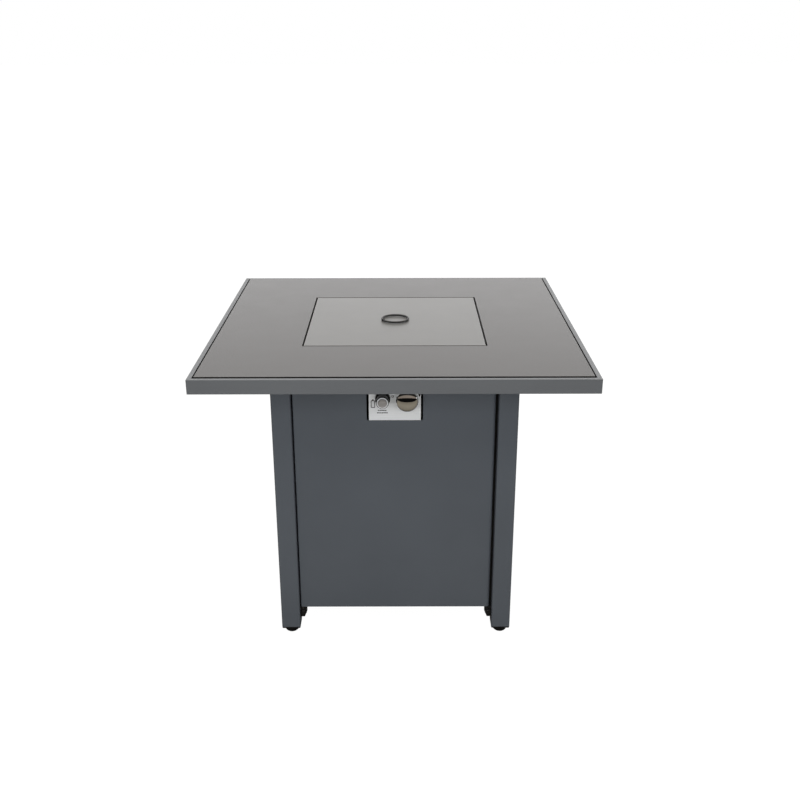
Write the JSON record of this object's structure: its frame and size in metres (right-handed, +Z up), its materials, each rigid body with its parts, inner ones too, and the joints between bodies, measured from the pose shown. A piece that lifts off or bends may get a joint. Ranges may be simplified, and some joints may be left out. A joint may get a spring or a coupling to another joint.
{
  "type": "gas fire pit table",
  "caption": "Square gas fire pit table with a lift-off lid over the burner, push controls under the rim and a panelled base with a door to the gas cylinder.",
  "frame": {"origin": "on the floor under the middle of the table", "axes": "+X to the right, +Y to the back, away from the controls, +Z up"},
  "size_m": [0.762, 0.762, 0.6448],
  "materials": {
    "charcoal_paint": "satin grey powder coat",
    "tabletop_paint": "satin warm grey coat",
    "lid_paint": "satin light grey coat",
    "black_steel": "matte black coat",
    "stainless": "brushed",
    "chrome": "mirror",
    "brass": "machined",
    "aluminium": "mill finish",
    "ceramic": "unglazed",
    "lava_rock": "rough and porous",
    "black_plastic": "moulded"
  },
  "bodies": {
    "table": {"rim_front": "charcoal_paint", "rim_right": "charcoal_paint", "rim_back": "charcoal_paint", "rim_left": "charcoal_paint", "tabletop_panel": "tabletop_paint", "opening_trim": "black_steel", "deck_rail_front": "charcoal_paint", "deck_rail_right": "charcoal_paint", "deck_rail_back": "charcoal_paint", "deck_rail_left": "charcoal_paint", "burner_pan": "stainless", "burner_ring": "stainless", "burner_lock_nut": "stainless", "air_mixer": "brass", "heat_shield": "aluminium", "sensor_bracket": "stainless", "ignition_electrode": "ceramic", "thermocouple": "brass", "lava_rock_bed": "lava_rock", "control_plate": "stainless", "control_bracket": "black_steel", "gas_valve": "brass", "igniter_body": "black_plastic", "igniter_collar": "chrome", "gas_line": "stainless", "igniter_wire": "black_plastic", "thermocouple_lead": "brass", "leg_front_left": "charcoal_paint", "leg_cap_front_left": "black_plastic", "leg_front_right": "charcoal_paint", "leg_cap_front_right": "black_plastic", "leg_back_left": "charcoal_paint", "leg_cap_back_left": "black_plastic", "leg_back_right": "charcoal_paint", "leg_cap_back_right": "black_plastic", "panel_right": "charcoal_paint", "panel_back": "charcoal_paint", "panel_left": "charcoal_paint", "door_pin_lower": "stainless", "door_hinge_upper": "black_steel", "door_stop": "black_steel", "door_catch": "black_plastic", "tank_tray": "black_steel", "tray_bracket_front_left": "black_steel", "tray_bracket_front_right": "black_steel", "tray_bracket_back_left": "black_steel", "tray_bracket_back_right": "black_steel"},
    "lid": {"lid": "lid_paint", "lid_ring_lug": "black_steel"},
    "pull_ring": {"lid_pull_ring": "black_steel"},
    "bush": {"valve_bush": "brass"},
    "knob": {"control_knob": "chrome", "valve_spindle": "stainless"},
    "igniter": {"igniter_button": "chrome"},
    "door": {"door": "charcoal_paint"},
    "foot_front_left": {"foot_front_left": "black_plastic"},
    "foot_front_right": {"foot_front_right": "black_plastic"},
    "foot_back_left": {"foot_back_left": "black_plastic"},
    "foot_back_right": {"foot_back_right": "black_plastic"}
  },
  "joints": [
    {"name": "lid_lift", "type": "slide", "parent": "table", "child": "lid", "axis": [0, 0, 1], "range_m": [0, 0.2]},
    {"name": "lid_ring_flip", "type": "hinge", "parent": "lid", "child": "pull_ring", "pos_m": [-0.02556, -0.01192, 0.6411], "axis": [0.4226, -0.9063, 0], "range_deg": [0, 180]},
    {"name": "knob_push", "type": "slide", "parent": "table", "child": "bush", "axis": [0, 1, 0], "range_m": [0, 0.0035], "stiffness_N_per_m": 1200, "springref_m": -0.001},
    {"name": "knob_turn", "type": "hinge", "parent": "bush", "child": "knob", "pos_m": [0.0243, -0.24, 0.548], "axis": [0, 1, 0], "range_deg": [0, 180]},
    {"name": "igniter_push", "type": "slide", "parent": "table", "child": "igniter", "axis": [0, 1, 0], "range_m": [0, 0.004], "stiffness_N_per_m": 900, "springref_m": -0.001},
    {"name": "door_swing", "type": "hinge", "parent": "table", "child": "door", "pos_m": [-0.2015, -0.234, 0.33], "axis": [0, 0, -1], "range_deg": [0, 95]},
    {"name": "foot_front_left_screw", "type": "slide", "parent": "table", "child": "foot_front_left", "axis": [0, 0, -1], "range_m": [0, 0.01]},
    {"name": "foot_front_right_screw", "type": "slide", "parent": "table", "child": "foot_front_right", "axis": [0, 0, -1], "range_m": [0, 0.01]},
    {"name": "foot_back_left_screw", "type": "slide", "parent": "table", "child": "foot_back_left", "axis": [0, 0, -1], "range_m": [0, 0.01]},
    {"name": "foot_back_right_screw", "type": "slide", "parent": "table", "child": "foot_back_right", "axis": [0, 0, -1], "range_m": [0, 0.01]}
  ]
}
